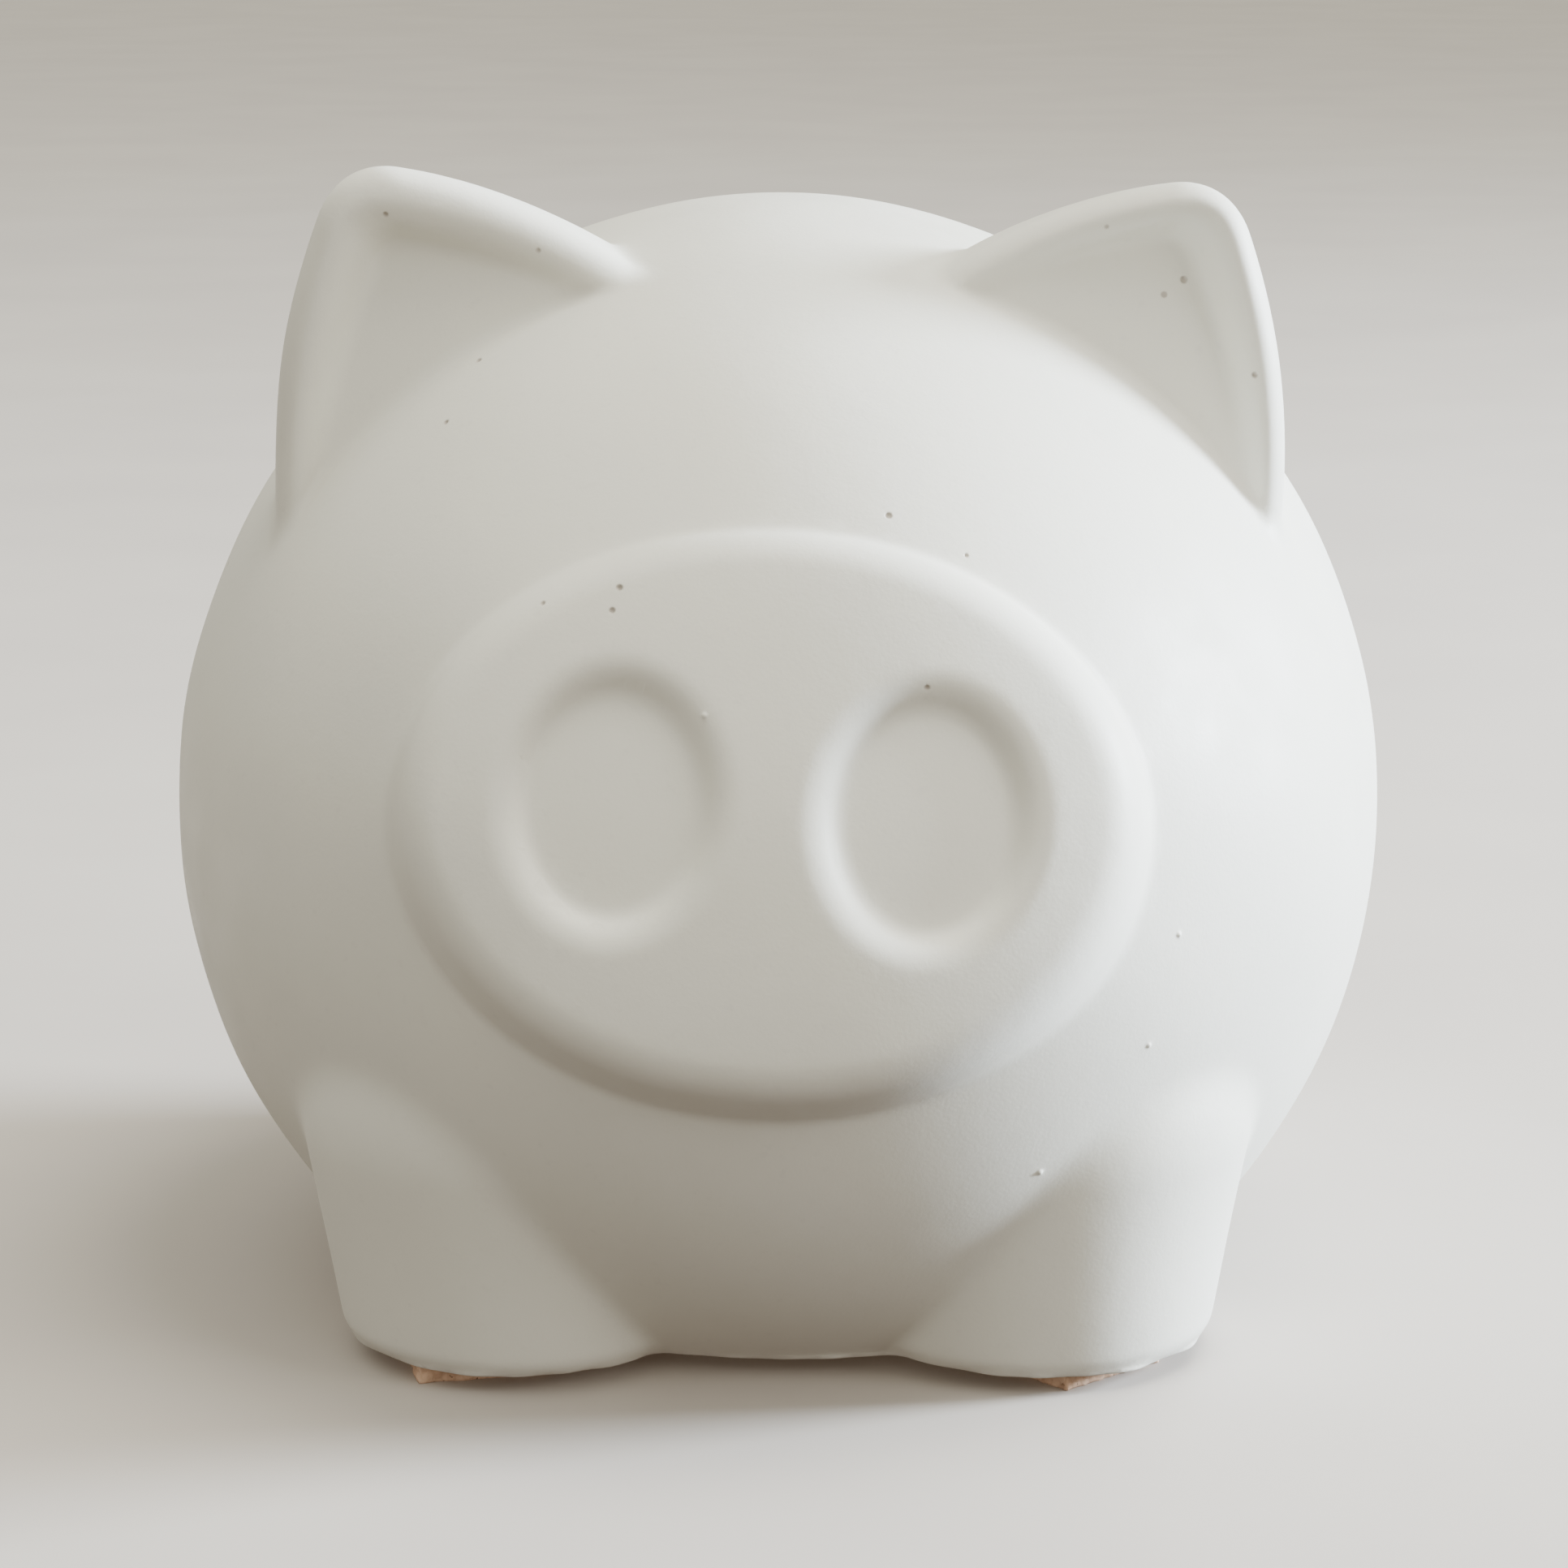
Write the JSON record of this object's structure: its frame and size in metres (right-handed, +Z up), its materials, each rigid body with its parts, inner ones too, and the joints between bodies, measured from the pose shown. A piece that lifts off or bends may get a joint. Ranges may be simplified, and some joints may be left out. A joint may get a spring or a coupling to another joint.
{
  "type": "piggy bank",
  "caption": "Round matte cast piggy bank with an oval snout, cupped upright ears, short legs on cork pads, a coin slot along its back and a rubber stopper in its base.",
  "frame": {"origin": "on the surface the pads stand on, under the middle of the bank's overall box", "axes": "+Z up, the snout faces -Y, +X is to the right of someone who looks at the snout"},
  "size_m": [0.1146, 0.1362, 0.1064],
  "materials": {
    "casting": "matte",
    "stopper": "matte",
    "cork": "matte"
  },
  "bodies": {
    "bank": {"body_shell": "casting", "foot_pad_front_left": "cork", "foot_pad_front_right": "cork", "foot_pad_rear_left": "cork", "foot_pad_rear_right": "cork"},
    "stopper": {"base_stopper": "stopper"}
  },
  "joints": [
    {"name": "stopper_pull", "type": "slide", "parent": "bank", "child": "stopper", "axis": [0, 0, -1], "range_m": [0, 0.03]}
  ]
}
